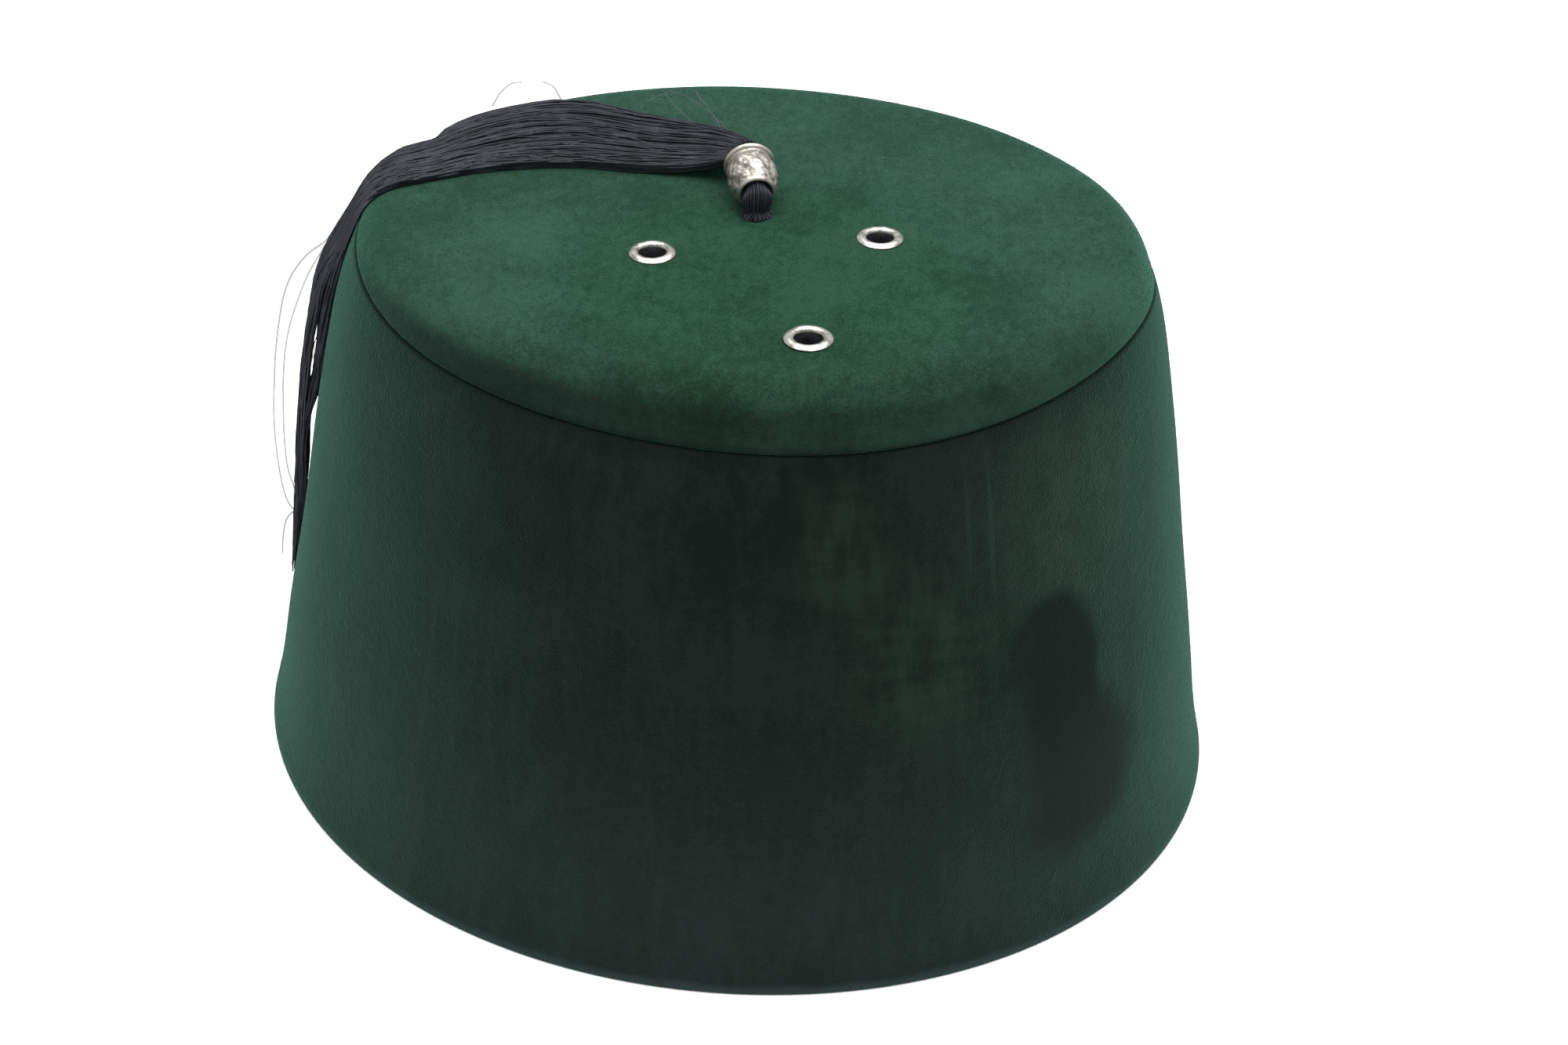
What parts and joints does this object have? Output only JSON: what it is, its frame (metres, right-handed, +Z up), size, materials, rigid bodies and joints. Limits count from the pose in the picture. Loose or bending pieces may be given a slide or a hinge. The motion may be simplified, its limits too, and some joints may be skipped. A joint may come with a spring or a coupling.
{
  "type": "fez hat",
  "caption": "Stiff green felt fez with a sewn flat top, turned eyelets and a black silk tassel through a barrel bead.",
  "frame": {"origin": "middle of the base oval, on the surface that the rim stands on", "axes": "+Z up through the crown; +X along the long side of the head oval, to the front of the head; the tassel hangs at -X"},
  "size_m": [0.1998, 0.1748, 0.1267],
  "materials": {
    "felt": "velour-napped felt, green",
    "nickel": "bright nickel plate",
    "old_silver": "darkened silver, hammered relief",
    "silk": "glossy twisted silk strands, black"
  },
  "bodies": {
    "root": {"crown_side": "felt", "crown_top": "felt", "eyelet_front": "nickel", "eyelet_left": "nickel", "eyelet_right": "nickel", "tassel_bead": "old_silver", "tassel": "silk"}
  },
  "joints": []
}
